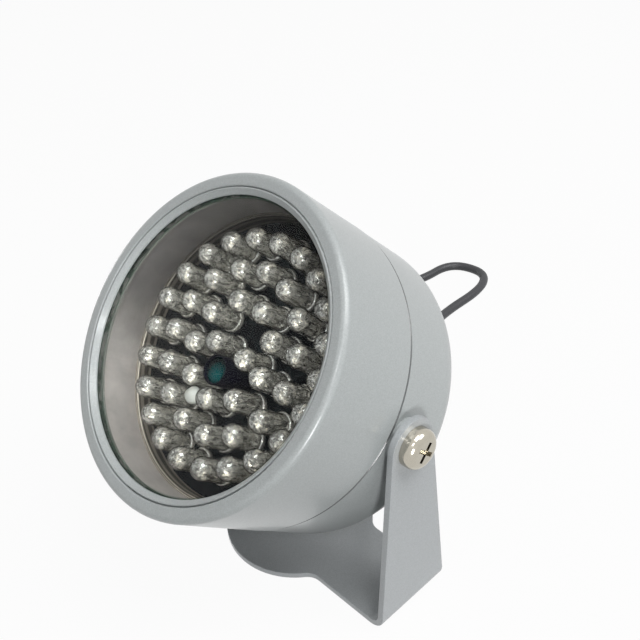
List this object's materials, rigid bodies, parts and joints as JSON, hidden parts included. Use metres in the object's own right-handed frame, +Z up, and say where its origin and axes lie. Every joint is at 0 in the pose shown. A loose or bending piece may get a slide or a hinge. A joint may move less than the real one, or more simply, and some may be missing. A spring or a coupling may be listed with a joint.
{
  "type": "infrared illuminator",
  "caption": "Round infrared lamp head with clear domed emitters behind a flat glass, tilting on two cross-recessed screws in a folded U bracket with a round foot, and a supply cord behind.",
  "frame": {"origin": "centre of the bracket's round foot, on its underside", "axes": "+Z up from the foot, the head looks towards -Y and upwards at rest, +X along the tilt axis"},
  "size_m": [0.1279, 0.173, 0.0908],
  "materials": {
    "bracket_paint": "satin silver-grey paint",
    "housing_paint": "satin silver-grey paint",
    "clear_glass": "clear, polished",
    "black_rubber": "matt",
    "sleeve_metal": "satin, plain",
    "clamp_metal": "satin, plain",
    "board_lacquer": "dark solder lacquer",
    "clear_epoxy": "clear, polished",
    "hood_plastic": "dark blue-black",
    "cell_face": "teal, glossy",
    "white_silicone": "cured silicone, glossy",
    "nickel_steel": "nickel plated, polished",
    "cord_jacket": "soft charcoal plastic",
    "nylon": "natural nylon",
    "chip_plastic": "moulded black",
    "capacitor_sleeve": "shrunk sleeve",
    "resistor_ceramic": "coated ceramic",
    "red_insulation": "soft plastic",
    "black_insulation": "soft plastic",
    "socket_plastic": "moulded black"
  },
  "bodies": {
    "bracket": {"bracket": "bracket_paint", "power_cord": "cord_jacket", "socket_body": "socket_plastic", "socket_sleeve": "nickel_steel", "socket_pin": "nickel_steel"},
    "head": {"front_barrel": "housing_paint", "rear_cup": "housing_paint", "glass_ring": "housing_paint", "front_glass": "clear_glass", "glass_gasket": "black_rubber", "inner_sleeve": "sleeve_metal", "board_clamp_ring": "clamp_metal", "led_board": "board_lacquer", "leds_outer_ring": "clear_epoxy", "leds_second_ring": "clear_epoxy", "leds_third_ring": "clear_epoxy", "leds_centre_pair": "clear_epoxy", "sensor_hood": "hood_plastic", "sensor_cell": "cell_face", "silicone_dab": "white_silicone", "body_seal": "black_rubber", "pivot_screws": "nickel_steel", "pivot_washers": "nickel_steel", "cable_grommet": "black_rubber", "cable_tail": "cord_jacket", "cable_tie": "nylon", "control_chip": "chip_plastic", "switch_transistor": "chip_plastic", "lead_header": "nylon", "filter_capacitor": "capacitor_sleeve", "drive_resistors": "resistor_ceramic", "lead_red": "red_insulation", "lead_black": "black_insulation"}
  },
  "joints": [
    {"name": "head_tilt", "type": "hinge", "parent": "bracket", "child": "head", "pos_m": [0, 0, 0.0467], "axis": [-1, 0, 0], "range_deg": [-52, 48]}
  ]
}
